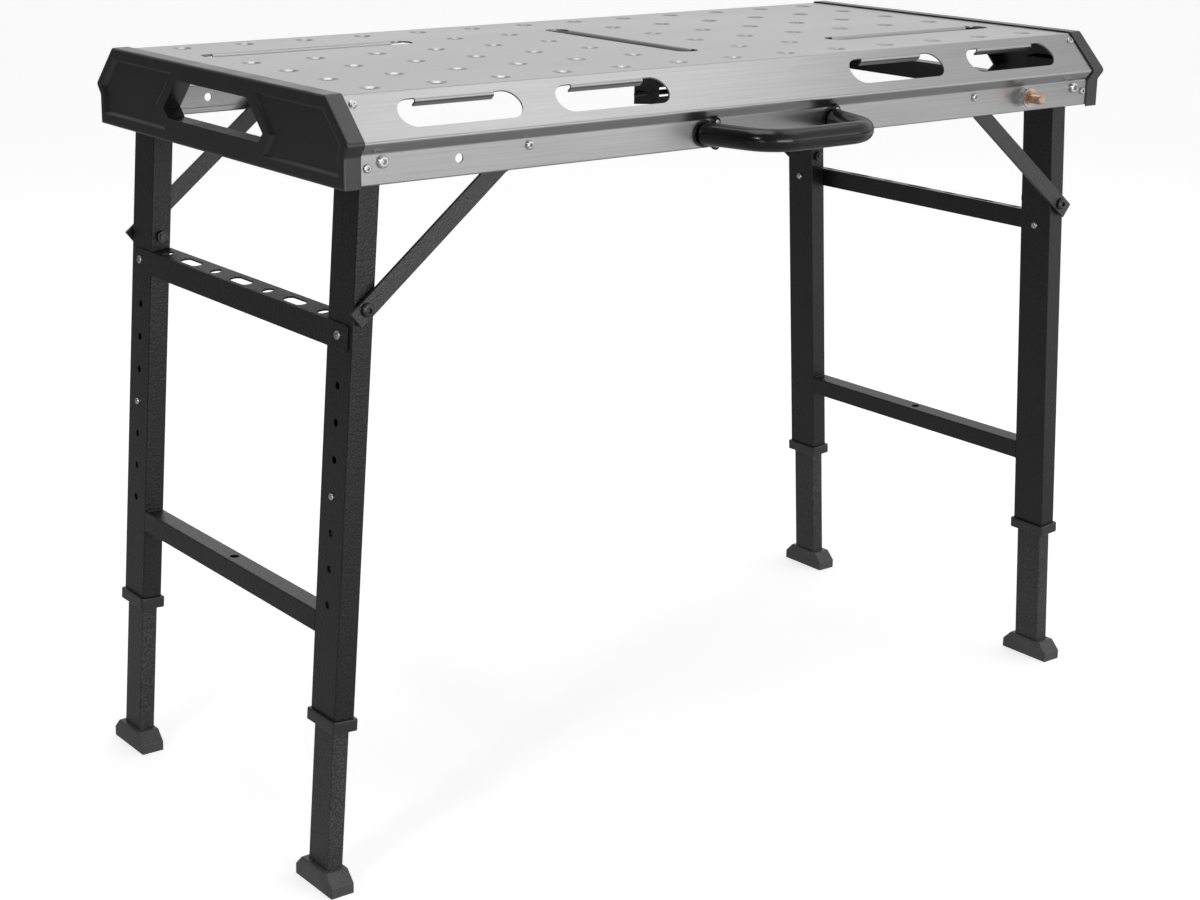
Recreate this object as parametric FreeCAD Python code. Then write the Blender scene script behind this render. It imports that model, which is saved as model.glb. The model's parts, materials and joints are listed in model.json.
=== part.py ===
"""Portable welding table: a folded steel top with end caps, on two folding, height-adjustable leg frames.

Millimetres, +X along the table, -Y is the side with the carry handle, +Z up, floor at Z = 0.
Every piece is drawn about the middle of the top and moved together at export, so that the
origin ends up under the middle of the whole table's box.
"""
import FreeCAD, Part
import math
import os

V = FreeCAD.Vector
X_AXIS, Y_AXIS, Z_AXIS = V(1, 0, 0), V(0, 1, 0), V(0, 0, 1)

# ---------------------------------------------------------------- top: driving dimensions
HEIGHT = 876.0             # floor to work surface, legs in the middle hole
TOP_LENGTH = 1150.0        # over the end caps
SHEET = 2.0                # steel of the top
FLAT_HALF = 239.5          # half width of the flat work surface
WIDE_HALF, WIDE_DROP = 283.0, 44.5       # widest bend: half width and depth below the surface
APRON_HALF, APRON_DROP = 273.7, 56.0     # upright apron: half width and where it starts
APRON_END = 89.0           # lower edge of the apron, below the surface
HEM = 7.0                  # height of the closed hem along the apron's lower edge
BEND = 3.5                 # outside radius of the bends

HOLE_PITCH_X, HOLE_COLUMNS = 83.3, 13
HOLE_PITCH_Y, HOLE_ROWS = 82.7, 6
HOLE, DIMPLE, DIMPLE_DEEP = 17.0, 24.0, 2.0   # through hole, rim diameter, how far the rim sinks
SLOT_WIDE = 32.0           # sheet opening of the clamp slots; the lips narrow it
SLOT_LONG = 285.0
SLOT_X = 374.5             # middle of the two lengthwise slots
LIP_BEND, LIP_DEEP = 4.0, 9.0  # rolled lip: outside radius, depth below the surface
LIP_SHORT = 20.0           # each end of a slot has no lip over this length
CHAMFER_SLOT = (155.0, 36.0)   # slots in the sloping sides
CHAMFER_SLOT_AT = 29.0     # their middle, down the slope
CHAMFER_LIP = 100.0
CHAMFER_SLOT_X = (219.0, 421.0)

CAP_LAP = 21.0             # the cap's skirt laps over the sheet
CAP_PROUD, CAP_GAP = 2.0, 0.15
CAP_WALL = 6.0
CAP_EDGE = 2.5             # rounding of the cap's outer edge
PANEL_DEEP = 3.0           # recessed panel on each half of the cap, with sloping flanks
PANEL_RIM = ((92.0, 864.5), (238.0, 864.5), (271.0, 831.0), (266.5, 820.0), (266.0, 798.0),
             (110.0, 798.0), (129.5, 823.0))     # its outline (y, z) on the cap's face
PANEL_FLOOR = ((98.0, 862.5), (231.0, 862.5), (262.0, 831.0), (258.0, 820.0), (258.0, 801.0),
               (118.0, 800.5), (136.5, 823.5))   # and on its floor
GRIP = ((81.0, 857.0), (113.5, 822.5), (103.0, 812.0))   # half outline (y, z) of the grip opening
GRIP_WALL, GRIP_DEEP = 3.0, 22.0
CAP_SCREW_X = 546.0
CAP_SCREW_Z, CAP_SCREW_DOWN = 805.5, 12.0
CAP_SCREW, HANDLE_SCREW = 5.0, 4.0       # screw diameters

CLIP = ((-117.0, 170.0), (-97.0, 185.0), (-72.0, 185.0), (-52.0, 170.0))   # plan (x, y) of a leg clip
CLIP_LOW = 826.0           # its lower edge
CLIP_WINDOW = (834.0, 845.0)
CLIP_PIN, CLIP_PIN_Z, CLIP_PIN_Y = 6.0, 838.0, 176.5

HANDLE_HALF, HANDLE_FRONT_HALF = 100.0, 76.0   # half spacing of the arms, at the apron and in front
HANDLE_Z, HANDLE_REACH = 804.0, 90.0
HANDLE_TUBE, HANDLE_BEND = 26.0, 42.0
HANDLE_FLANGE, HANDLE_FLANGE_THICK = 31.0, 3.0
HANDLE_SCREW_X, HANDLE_SCREW_Z = (-82.5, 104.0), (789.5, 815.5)
HANDLE_SCREW_HEAD = (6.0, 1.8)
STUD_X, STUD_Z, STUD = 433.0, 806.0, 12.0
STUD_STANDS, STUD_COLLAR = 32.0, (17.5, 2.5)   # how far it stands out; its collar
EARTH_WASHER, EARTH_NUT = (24.0, 2.0), (19.0, 8.0)
APRON_HOLE = 10.0

# ---------------------------------------------------------------- legs: driving dimensions
PIVOT_X, PIVOT_Z = 527.7, 811.0
SPLAY = 3.93               # degrees each frame leans outward
LEG_Y = 227.5              # leg centre line
UPPER = (25.0, 50.0)       # upper tube: along X, along Y
LOWER = (20.0, 40.0)       # lower tube
WALL, TUBE_CORNER = 1.5, 1.6
LEG_HEAD = 36.0            # upper tube above its pivot
LEG_FOOT = 611.0           # upper tube's lower end, along the leg from the pivot
LOWER_HEAD = 342.0         # lower tube's upper end at rest
SNAP_AT, SNAP_PITCH, SNAP_STEPS = 364.0, 40.5, 3
BUTTON = 8.0
BUTTON_STANDS = 3.5        # how far the button stands out of the upper tube
COLLAR_LONG, COLLAR_LIP, COLLAR_SLEEVE = 14.0, 3.5, 16.0
FOOT = (29.0, 77.5)
FOOT_HIGH, FOOT_EDGE, FOOT_CREST = 25.0, 12.0, 52.0  # height, upright edge, length of its crest
FOOT_SOCKET = 9.0          # the lower tube's end stands this high above the floor

RAIL_AT, RAIL_HIGH, RAIL_END, RAIL_SHEET = 175.0, 28.0, 245.0, 2.0
RAIL_SHELF, RAIL_RISE = 25.5, 5.0   # width of the shelf, and how much its inner edge is higher
RAIL_HOLE_PITCH, RAIL_HOLE, RAIL_SLOT = 59.5, 14.0, 40.0
RAIL_HOLE_LINE = 11.5      # the holes' line, from the web's outer face
RAIL_SCREW_AT = 188.0
CROSSBAR_AT, CROSSBAR = 498.5, (25.0, 25.0)

BOLT = 8.0                 # leg pivots and brace pins
RUNNING = 0.06             # radial clearance of a turning fit
FREE = 0.1                 # radial clearance of a fixed screw
GAP = 0.3                  # between faces that pass each other

BRACE_AT = 156.0           # brace pin, along the leg from the pivot
BRACE_WIDE, BRACE_THICK = 20.5, 4.0
BRACE_Y = 255.5            # near face of the straight stretch
BRACE_JOG = 8.0            # the hook end steps outward by this
BRACE_TAIL, BRACE_TIP = 17.0, 13.0
HOOK_X, HOOK_Z, HOOK_PIN = 343.0, 812.0, 6.0
HOOK_PIN_END = 262.5       # inner end of the pin the brace hooks on
HOOK_SLOT = 6.6
HOOK_LEAN = 29.0           # degrees the hook's mouth leans back toward the leg

# ---------------------------------------------------------------- values that follow
HALF = TOP_LENGTH / 2
SHEET_HALF = HALF - CAP_WALL - 1.0
UNDERSIDE = HEIGHT - SHEET
APRON_IN = APRON_HALF - SHEET
CAP_LOW = HEIGHT - APRON_END - CAP_PROUD
LEG_OUT = LEG_Y + UPPER[1] / 2
LEG_IN = LEG_Y - UPPER[1] / 2
FRONT_REACH = APRON_HALF + HANDLE_REACH + HANDLE_TUBE / 2
SLOPE = math.atan2(WIDE_DROP, WIDE_HALF - FLAT_HALF)


# ---------------------------------------------------------------- helpers
def box(x, y, z):
    """A box from three (low, high) pairs."""
    return Part.makeBox(x[1] - x[0], y[1] - y[0], z[1] - z[0], V(x[0], y[0], z[0]))


def rod(start, end, diameter):
    """A round rod between two points."""
    return Part.makeCylinder(diameter / 2, (end - start).Length, start, end - start)


def prism(points, along):
    """A closed outline of points, pushed along a vector."""
    return Part.Face(Part.makePolygon(points + [points[0]])).extrude(along)


def ends_on(shape, test):
    """The edges of a shape whose middle point passes a test."""
    return [e for e in shape.Edges if test(e.valueAt((e.FirstParameter + e.LastParameter) / 2))]


def flip_x(shape):
    return shape.mirror(V(0, 0, 0), X_AXIS)


def flip_y(shape):
    return shape.mirror(V(0, 0, 0), Y_AXIS)


def both_y(shape):
    """A piece of the back row with its twin of the front row."""
    return [shape, flip_y(shape)]


def all_corners(shape):
    """A piece of the left back corner with its three twins."""
    pair = both_y(shape)
    return pair + [flip_x(s) for s in pair]


def solids(shapes):
    """The separate solids of several shapes."""
    return [solid for shape in shapes for solid in shape.Solids]


def to_origin():
    """The move that brings the middle of the whole table's box over the origin."""
    outline = cap_chain(CAP_PROUD)
    back = rounded_corner_reach(outline[1], outline[2], outline[3], BEND + CAP_PROUD)
    return V(0, (FRONT_REACH - back) / 2, 0)


def write(node, *shapes):
    """One STEP file holding each solid of one node."""
    group = solids(shapes)
    for solid in group:
        if not solid.isValid() or solid.Volume <= 0:
            print("BAD SOLID", node)
    whole = group[0] if len(group) == 1 else Part.makeCompound(group)
    whole = whole.copy()
    whole.translate(to_origin())
    whole.exportStep("parts/" + node + ".step")


def hexagon(centre, axis, flats, length):
    """A hexagonal bar from a centre, along a unit axis."""
    side = axis.cross(X_AXIS if abs(axis.x) < 0.9 else Z_AXIS).normalize()
    other = axis.cross(side)
    reach = flats / math.sqrt(3)
    turns = [math.radians(60 * n) for n in range(6)]
    points = [centre + side * (reach * math.cos(t)) + other * (reach * math.sin(t)) for t in turns]
    return prism(points, axis * length)


def screw(seat, axis, diameter, length, head, head_high):
    """A domed socket screw: its head stands on seat, against axis; its shank runs along axis."""
    shank = rod(seat, seat + axis * length, diameter)
    dome = rod(seat, seat - axis * head_high, head)
    crown = seat - axis * head_high
    dome = dome.makeFillet(head_high * 0.7, ends_on(dome, lambda p: abs((p - crown).dot(axis)) < 0.01
                                                    and abs((p - crown).Length - head / 2) < 0.01))
    socket = hexagon(crown - axis, axis, head * 0.38, 1.0 + head_high * 0.6)
    return dome.cut(socket).fuse(shank).removeSplitter()


def nut(seat, axis, diameter, flats, thick):
    """A hexagon nut that stands on seat and grows along axis, its corners turned off."""
    turned = hexagon(seat, axis, flats, thick).common(rod(seat, seat + axis * thick, flats * 1.09))
    return turned.cut(rod(seat - axis, seat + axis * (thick + 1), diameter + 2 * FREE))


def cap_nut(seat, axis, diameter, wide, high):
    """A round domed nut that stands on seat and closes over the end of a screw."""
    dome = rod(seat, seat + axis * high, wide)
    crown = seat + axis * high
    dome = dome.makeFillet(high * 0.6, ends_on(dome, lambda p: abs((p - crown).dot(axis)) < 0.01))
    return dome.cut(rod(seat - axis, seat + axis * (high - 1), diameter + 2 * FREE))


def washer(seat, axis, inner, outer, thick):
    ring = rod(seat, seat + axis * thick, outer)
    return ring.cut(rod(seat - axis, seat + axis * (thick + 1), inner))


def tube(x_size, y_size, wall, z_low, z_high, centre_x, centre_y):
    """A rectangular tube that stands upright, with rounded corners."""
    def block(grow, radius):
        a, b = x_size / 2 - grow, y_size / 2 - grow
        solid = box((centre_x - a, centre_x + a), (centre_y - b, centre_y + b), (z_low, z_high))
        middle = (z_low + z_high) / 2
        return solid.makeFillet(radius, ends_on(solid, lambda p: abs(p.z - middle) < 0.01))
    return block(0, TUBE_CORNER).cut(block(wall, 0.5))


def offset_chain(points, distance):
    """An open chain of (y, z) points moved to its left by distance, with mitred corners."""
    sides = []
    for (y0, z0), (y1, z1) in zip(points, points[1:]):
        long = math.hypot(y1 - y0, z1 - z0)
        sides.append((-(z1 - z0) / long, (y1 - y0) / long))
    moved = []
    for n, (y, z) in enumerate(points):
        a = sides[max(n - 1, 0)]
        b = sides[min(n, len(sides) - 1)]
        scale = distance / (1 + a[0] * b[0] + a[1] * b[1])
        moved.append((y + (a[0] + b[0]) * scale, z + (a[1] + b[1]) * scale))
    return moved


def rounded_corner_reach(before, corner, after, radius):
    """How far out in y a rounded corner of a (y, z) outline reaches."""
    u = V(before[0] - corner[0], before[1] - corner[1], 0).normalize()
    v = V(after[0] - corner[0], after[1] - corner[1], 0).normalize()
    middle = (u + v).normalize()
    return corner[0] + middle.x * radius / u.cross(middle).Length + radius


def across(points, x):
    """(y, z) points as vectors at one x."""
    return [V(x, y, z) for y, z in points]


# ---------------------------------------------------------------- top sheet
def top_chain(lower_edge):
    """The outside of the folded sheet as (y, z), from the back apron over the top to the front."""
    half = [(APRON_HALF, lower_edge), (APRON_HALF, HEIGHT - APRON_DROP),
            (WIDE_HALF, HEIGHT - WIDE_DROP), (FLAT_HALF, HEIGHT)]
    return half + [(-y, z) for y, z in reversed(half)]


def folded_sheet():
    """The bent sheet with its hems, before anything is cut."""
    lower = HEIGHT - APRON_END
    outer = top_chain(lower)
    inner = offset_chain(outer, SHEET)
    sheet = prism(across(outer + list(reversed(inner)), -SHEET_HALF), X_AXIS * (2 * SHEET_HALF))
    bends_out = outer[1:-1]
    bends_in = inner[1:-1]

    def near(p, corners):
        return any(math.hypot(p.y - y, p.z - z) < 0.01 for y, z in corners)

    sheet = sheet.makeFillet(BEND, ends_on(sheet, lambda p: near(p, bends_out) and abs(p.x) < 1))
    sheet = sheet.makeFillet(BEND - SHEET, ends_on(sheet, lambda p: near(p, bends_in) and abs(p.x) < 1))
    fold = box((-SHEET_HALF, SHEET_HALF), (APRON_IN - SHEET, APRON_IN + 0.5), (lower, lower + HEM))
    fold = fold.cut(box((-HALF, HALF), (APRON_IN, APRON_HALF), (lower - 1, lower + HEM + 1)))
    sheet = sheet.fuse(both_y(fold)).removeSplitter()
    rims = ends_on(sheet, lambda p: abs(p.z - lower) < 0.01 and abs(p.x) < 1)
    return sheet.makeFillet(SHEET * 0.9, rims)


def hole_centres():
    """Every place of the hole grid that no clamp slot takes."""
    for column in range(HOLE_COLUMNS):
        for row in range(HOLE_ROWS):
            x = (column - (HOLE_COLUMNS - 1) / 2) * HOLE_PITCH_X
            y = (row - (HOLE_ROWS - 1) / 2) * HOLE_PITCH_Y
            left_slot = column <= 3 and row == HOLE_ROWS - 2
            right_slot = column >= HOLE_COLUMNS - 4 and row == 1
            middle_slot = column == (HOLE_COLUMNS - 1) // 2 and 1 <= row <= HOLE_ROWS - 2
            if not (left_slot or right_slot or middle_slot):
                yield x, y


def dimple(x, y):
    """The pressed rim of one hole, as a ring that sinks toward its hole."""
    outline = [(DIMPLE / 2, 0), (HOLE / 2, -DIMPLE_DEEP), (HOLE / 2, -DIMPLE_DEEP - SHEET),
               (DIMPLE / 2, -SHEET)]
    points = [V(r, 0, z) for r, z in outline]
    ring = Part.Face(Part.makePolygon(points + [points[0]])).revolve(V(0, 0, 0), Z_AXIS, 360)
    ring.translate(V(x, y, HEIGHT))
    return ring


def obround(centre, along, over, down, length, width, depth):
    """A round-ended slot cutter: along and over lie in the face, down points into it."""
    straight = (length - width) / 2
    corners = [centre + along * (a * straight) + over * (b * width / 2)
               for a, b in ((-1, -1), (1, -1), (1, 1), (-1, 1))]
    cutter = prism(corners, down * depth)
    for side in (-1, 1):
        middle = centre + along * (side * straight)
        cutter = cutter.fuse(rod(middle, middle + down * depth, width))
    return cutter.removeSplitter()


def lip(edge_middle, along, into, down, length):
    """A rolled lip along a slot's edge: it leaves the face flush, curls into the slot and down."""
    start = edge_middle - along * (length / 2)
    hub = start + down * LIP_BEND

    def on_arc(radius, turn):
        return hub + into * (radius * math.sin(turn)) - down * (radius * math.cos(turn))

    def arc(radius):
        return Part.Arc(on_arc(radius, 0), on_arc(radius, math.pi / 4), on_arc(radius, math.pi / 2)).toShape()

    inner = LIP_BEND - SHEET
    tail = down * (LIP_DEEP - LIP_BEND)
    outer_end, inner_end = on_arc(LIP_BEND, math.pi / 2), on_arc(inner, math.pi / 2)
    edges = [arc(LIP_BEND),
             Part.makeLine(outer_end, outer_end + tail),
             Part.makeLine(outer_end + tail, inner_end + tail),
             Part.makeLine(inner_end + tail, inner_end),
             arc(inner),
             Part.makeLine(on_arc(inner, 0), on_arc(LIP_BEND, 0))]
    face = Part.Face(Part.Wire(Part.__sortEdges__(edges)))
    return face.extrude(along * length)


def slope_frame():
    """The back slope: a point on its upper bend, the way down it, and the way into it."""
    down_slope = V(0, math.cos(SLOPE), -math.sin(SLOPE))
    return V(0, FLAT_HALF, HEIGHT), down_slope, V(0, -math.sin(SLOPE), -math.cos(SLOPE))


def make_top_sheet():
    sheet = folded_sheet()
    row = HOLE_PITCH_Y * 1.5
    cutters = []
    lips = []
    clamp_slots = ((V(-SLOT_X, row, HEIGHT), X_AXIS), (V(SLOT_X, -row, HEIGHT), X_AXIS),
                   (V(0, 6.5, HEIGHT), Y_AXIS))
    for centre, along in clamp_slots:
        over = Z_AXIS.cross(along)
        cutters.append(obround(centre + Z_AXIS, along, over, -Z_AXIS, SLOT_LONG, SLOT_WIDE, 1 + SHEET * 2))
        for side in (-1, 1):
            edge = centre + over * (side * SLOT_WIDE / 2)
            lips.append(lip(edge, along, over * -side, -Z_AXIS, SLOT_LONG - 2 * LIP_SHORT))

    bend, down_slope, inward = slope_frame()
    for x in CHAMFER_SLOT_X:
        centre = bend + down_slope * CHAMFER_SLOT_AT + X_AXIS * -x
        cutter = obround(centre - inward, X_AXIS, down_slope, inward, CHAMFER_SLOT[0],
                         CHAMFER_SLOT[1], 1 + SHEET * 2)
        cutters += all_corners(cutter)
        edge = centre - down_slope * (CHAMFER_SLOT[1] / 2)
        lips += all_corners(lip(edge, X_AXIS, down_slope, inward, CHAMFER_LIP))

    def through_apron(x, z, diameter):
        return rod(V(x, APRON_IN - 4, z), V(x, APRON_HALF + 4, z), diameter)

    cutters += all_corners(through_apron(-PIVOT_X, PIVOT_Z, BOLT + 2 * FREE))
    cutters += all_corners(through_apron(-HOOK_X, HOOK_Z, HOOK_PIN + 2 * FREE))
    cutters += all_corners(through_apron(-CAP_SCREW_X, CAP_SCREW_Z, CAP_SCREW + 2 * FREE))
    cutters += both_y(through_apron(-STUD_X, STUD_Z, APRON_HOLE))
    cutters.append(through_apron(STUD_X, STUD_Z, APRON_HOLE))
    cutters.append(flip_y(through_apron(STUD_X, STUD_Z, STUD + 2 * FREE)))
    slope_screw = bend + down_slope * CAP_SCREW_DOWN - X_AXIS * CAP_SCREW_X
    cutters += all_corners(rod(slope_screw - inward * 4, slope_screw + inward * 4, CAP_SCREW + 2 * FREE))
    for x, z in handle_screw_places():
        cutters.append(flip_y(through_apron(x, z, HANDLE_SCREW + 2 * FREE)))

    rims = []
    for x, y in hole_centres():
        cutters.append(rod(V(x, y, HEIGHT - SHEET - 1), V(x, y, HEIGHT + 1), DIMPLE))
        rims.append(dimple(x, y))
    return sheet.cut(cutters).fuse(lips + rims).removeSplitter()


# ---------------------------------------------------------------- end caps
def cap_chain(grow):
    """The outline of the cap's outside or inside, by how far it stands off the sheet."""
    return offset_chain(top_chain(CAP_LOW), -grow)


def panel_cutter():
    """Cuts the recessed panel of the cap's +Y half, with its sloping flanks."""
    def outline(depth):
        share = depth / PANEL_DEEP
        points = [(y0 + (y1 - y0) * share, z0 + (z1 - z0) * share)
                  for (y0, z0), (y1, z1) in zip(PANEL_RIM, PANEL_FLOOR)]
        corners = across(points, -HALF + depth)
        return Part.makePolygon(corners + [corners[0]])
    return Part.makeLoft([outline(-1.0), outline(PANEL_DEEP)], True, True)


def make_end_cap():
    """The left end cap: a wall with a grip opening, a skirt over the sheet, and screw tabs inside."""
    outer = cap_chain(CAP_PROUD)
    inner = cap_chain(CAP_GAP)
    back = -HALF + CAP_WALL
    shell = prism(across(outer, -HALF), X_AXIS * (CAP_WALL + CAP_LAP))
    hollow = prism(across(inner, back), X_AXIS * (CAP_LAP + 1))
    inside = APRON_HALF + CAP_GAP
    low_room = (CAP_LOW - 1, HEIGHT - APRON_DROP)
    hollow = hollow.fuse(box((back, back + CAP_LAP + 1), (-inside, inside), low_room))
    cap = shell.cut(hollow)
    cap = cap.cut(box((-HALF + CAP_LAP, -HALF + 2 * CAP_LAP), (-HALF, HALF), (0, HEIGHT + 10)))
    long_bends = ends_on(cap, lambda p: -HALF + 1 < p.x < -HALF + CAP_LAP - 1
                         and any(math.hypot(p.y - y, p.z - z) < 0.01 for y, z in outer[1:-1]))
    cap = cap.makeFillet(BEND + CAP_PROUD, long_bends)
    cap = cap.makeFillet(CAP_EDGE, ends_on(cap, lambda p: abs(p.x + HALF) < 0.01))

    grip = list(GRIP) + [(-y, z) for y, z in reversed(GRIP)]
    point_y = GRIP[1][0]
    middle_z = (GRIP[0][1] + GRIP[2][1]) / 2

    def spread(points, by):
        return [(y + math.copysign(by * 1.15, y), z + math.copysign(by, z - middle_z)
                 * (0 if abs(y) == point_y else 1)) for y, z in points]

    sleeve = prism(across(spread(grip, GRIP_WALL), -HALF + 0.5), X_AXIS * (GRIP_DEEP - 0.5))
    opening = prism(across(grip, -HALF - 1), X_AXIS * (GRIP_DEEP + 2))
    cap = cap.cut(both_y(panel_cutter())).fuse(sleeve).cut(opening).removeSplitter()

    tab_x = (-HALF + CAP_WALL - 0.5, -PIVOT_X - 9.3)
    tab = box(tab_x, (APRON_IN - 4.2, APRON_IN - 0.2), (CAP_SCREW_Z - 8, CAP_SCREW_Z + 9))
    tab = tab.cut(rod(V(-CAP_SCREW_X, 200, CAP_SCREW_Z), V(-CAP_SCREW_X, 300, CAP_SCREW_Z), CAP_SCREW))
    bend, down_slope, inward = slope_frame()
    hub = bend + down_slope * CAP_SCREW_DOWN + inward * (SHEET + 0.2)
    corners = [hub + down_slope * (a * 8) + X_AXIS * tab_x[0] for a in (-1, 1)]
    corners += [corners[1] + inward * 4, corners[0] + inward * 4]
    slope_tab = prism(corners, X_AXIS * (tab_x[1] - tab_x[0]))
    drill = hub - X_AXIS * CAP_SCREW_X
    slope_tab = slope_tab.cut(rod(drill - inward * 3, drill + inward * 9, CAP_SCREW))
    return cap.fuse(both_y(tab) + both_y(slope_tab)).removeSplitter()


def make_cap_screws():
    bend, down_slope, inward = slope_frame()
    on_slope = bend + down_slope * CAP_SCREW_DOWN - X_AXIS * CAP_SCREW_X
    on_apron = V(-CAP_SCREW_X, APRON_HALF, CAP_SCREW_Z)
    screws = [screw(on_apron, -Y_AXIS, CAP_SCREW, 7.5, 9.5, 2.6),
              screw(on_slope, inward, CAP_SCREW, 7.5, 9.5, 2.6)]
    return [twin for one in screws for twin in all_corners(one)]


# ---------------------------------------------------------------- leg clips
def make_leg_clip():
    """The left back clip under the top: a folded strip with a window and two pierced wings."""
    outer = list(CLIP)
    inner = offset_chain(outer, -SHEET)
    outline = outer + list(reversed(inner))
    clip = prism([V(x, y, CLIP_LOW) for x, y in outline], Z_AXIS * (UNDERSIDE - CLIP_LOW))
    window_x = (CLIP[1][0] + 5, CLIP[2][0] - 5)
    window = box(window_x, (CLIP[1][1] - SHEET - 1, CLIP[1][1] + 1), CLIP_WINDOW)
    return clip.cut([window, make_clip_pin()])


def make_clip_pin():
    """The pin pressed through both wings of a clip."""
    start, end = V(CLIP[0][0] - 4, CLIP_PIN_Y, CLIP_PIN_Z), V(CLIP[3][0] + 4, CLIP_PIN_Y, CLIP_PIN_Z)
    pin = rod(start, end, CLIP_PIN)
    return pin.makeFillet(1.2, ends_on(pin, lambda p: abs(p.x - start.x) < 0.01 or abs(p.x - end.x) < 0.01))


# ---------------------------------------------------------------- carry handle, earth stud
def handle_screw_places():
    return [(x, z) for x in HANDLE_SCREW_X for z in HANDLE_SCREW_Z]


def make_handle():
    """The carry handle: one round bar bent to a U, its arms leaning inward, off the front apron."""
    wall = -APRON_HALF - HANDLE_FLANGE_THICK
    front = -APRON_HALF - HANDLE_REACH
    corner = V(HANDLE_FRONT_HALF, front, HANDLE_Z)
    foot = V(HANDLE_HALF, wall, HANDLE_Z)
    to_foot = (foot - corner).normalize()
    to_middle = -X_AXIS
    half_angle = to_foot.getAngle(to_middle) / 2
    bisector = (to_foot + to_middle).normalize()
    hub = corner + bisector * (HANDLE_BEND / math.sin(half_angle))
    from_corner = HANDLE_BEND / math.tan(half_angle)
    knee, turn = corner + to_foot * from_corner, corner + to_middle * from_corner
    edges = [Part.makeLine(foot, knee),
             Part.Arc(knee, hub - bisector * HANDLE_BEND, turn).toShape()]
    edges += [flip_x(e) for e in edges]
    edges.append(Part.makeLine(turn, V(-turn.x, turn.y, turn.z)))
    path = Part.Wire(Part.__sortEdges__(edges))
    start = path.OrderedVertexes[0].Point
    along = (knee - foot).normalize()
    if start.x < 0:
        along.x = -along.x
    ring = Part.Wire(Part.Circle(start, along, HANDLE_TUBE / 2).toShape())
    bar = path.makePipeShell([ring], True, False)
    behind = box((-HALF, HALF), (wall, 0), (0, HEIGHT))
    notches = [rod(V(x, wall + 1, z), V(x, wall - HANDLE_SCREW_HEAD[1] - 0.4, z), HANDLE_SCREW_HEAD[0] + 1)
               for x, z in handle_screw_places()]
    return bar.cut([behind] + notches)


def make_handle_flanges():
    """The plates between the handle's ends and the apron: a disc with an ear to each screw."""
    flanges = []
    low = V(0, -APRON_HALF, 0)
    high = low - Y_AXIS * HANDLE_FLANGE_THICK
    bend_room = box((-HALF, HALF), (-APRON_HALF - 1.2, -APRON_HALF + 1), (HANDLE_Z + 14.5, HEIGHT))
    for side, screw_x in zip((-1, 1), HANDLE_SCREW_X):
        foot = V(side * HANDLE_HALF, 0, HANDLE_Z)
        plate = rod(foot + low, foot + high, HANDLE_FLANGE)
        for z in HANDLE_SCREW_Z:
            eye = V(screw_x, 0, z)
            along = (eye - foot).normalize()
            over = along.cross(Y_AXIS) * 5.5
            corners = [foot - over, eye - over, eye + over, foot + over]
            ear = prism([corner + low for corner in corners], high - low)
            plate = plate.fuse([ear, rod(eye + low, eye + high, 11.0)])
        for z in HANDLE_SCREW_Z:
            eye = V(screw_x, 0, z)
            plate = plate.cut(rod(eye + low + Y_AXIS, eye + high - Y_AXIS, HANDLE_SCREW + 2 * FREE))
        flanges.append(plate.cut(bend_room).removeSplitter())
    return flanges


def make_handle_screws():
    head, head_high = HANDLE_SCREW_HEAD
    return [screw(V(x, -APRON_HALF - HANDLE_FLANGE_THICK, z), Y_AXIS, HANDLE_SCREW, 9, head, head_high)
            for x, z in handle_screw_places()]


def earth_pieces():
    """The earth stud with its collar, nuts and washers, on the front apron."""
    out = V(STUD_X, -APRON_HALF, STUD_Z)
    inside = V(STUD_X, -APRON_IN, STUD_Z)
    washer_wide, washer_thick = EARTH_WASHER
    nut_wide, nut_thick = EARTH_NUT
    tip = out - Y_AXIS * STUD_STANDS
    stud = rod(inside + Y_AXIS * 8, tip, STUD)
    stud = stud.makeChamfer(1.2, ends_on(stud, lambda p: abs(p.y - tip.y) < 0.01))
    outer_washer = out - Y_AXIS * (washer_thick + nut_thick)
    collar = outer_washer - Y_AXIS * washer_thick
    stud = stud.fuse(rod(collar, collar - Y_AXIS * STUD_COLLAR[1], STUD_COLLAR[0])).removeSplitter()
    washers = [washer(seat, -Y_AXIS, STUD + 2 * FREE, washer_wide, washer_thick)
               for seat in (out, outer_washer)]
    nuts = [nut(inside, Y_AXIS, STUD, nut_wide, 7),
            nut(out - Y_AXIS * washer_thick, -Y_AXIS, STUD, nut_wide, nut_thick)]
    return stud, nuts, washers


# ---------------------------------------------------------------- leg frames (left back leg first)
def lean(shape):
    """Lean an upright piece of the left frame outward about its pivot."""
    leaned = shape.copy()
    leaned.rotate(V(-PIVOT_X, 0, PIVOT_Z), Y_AXIS, SPLAY)
    return leaned


def down(distance):
    """Height of a point of the upright leg, by its distance from the pivot."""
    return PIVOT_Z - distance


def leg_bore(distance, diameter):
    """A bore through the leg along Y."""
    z = down(distance)
    return rod(V(-PIVOT_X, LEG_IN - 5, z), V(-PIVOT_X, LEG_OUT + 5, z), diameter)


def make_upper_leg():
    leg = tube(UPPER[0], UPPER[1], WALL, down(LEG_FOOT), down(-LEG_HEAD), -PIVOT_X, LEG_Y)
    cutters = [leg_bore(0, BOLT + 2 * RUNNING), leg_bore(BRACE_AT, BOLT + 2 * FREE)]
    z = down(RAIL_SCREW_AT)
    cutters.append(rod(V(-PIVOT_X - 20, LEG_Y, z), V(-PIVOT_X + 20, LEG_Y, z), 5 + 2 * FREE))
    for step in range(-SNAP_STEPS, SNAP_STEPS + 1):
        z = down(SNAP_AT + step * SNAP_PITCH)
        cutters.append(rod(V(-PIVOT_X - 20, LEG_Y, z), V(-PIVOT_X - UPPER[0] / 4, LEG_Y, z), BUTTON + 0.6))
    return lean(leg.cut(cutters))


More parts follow.
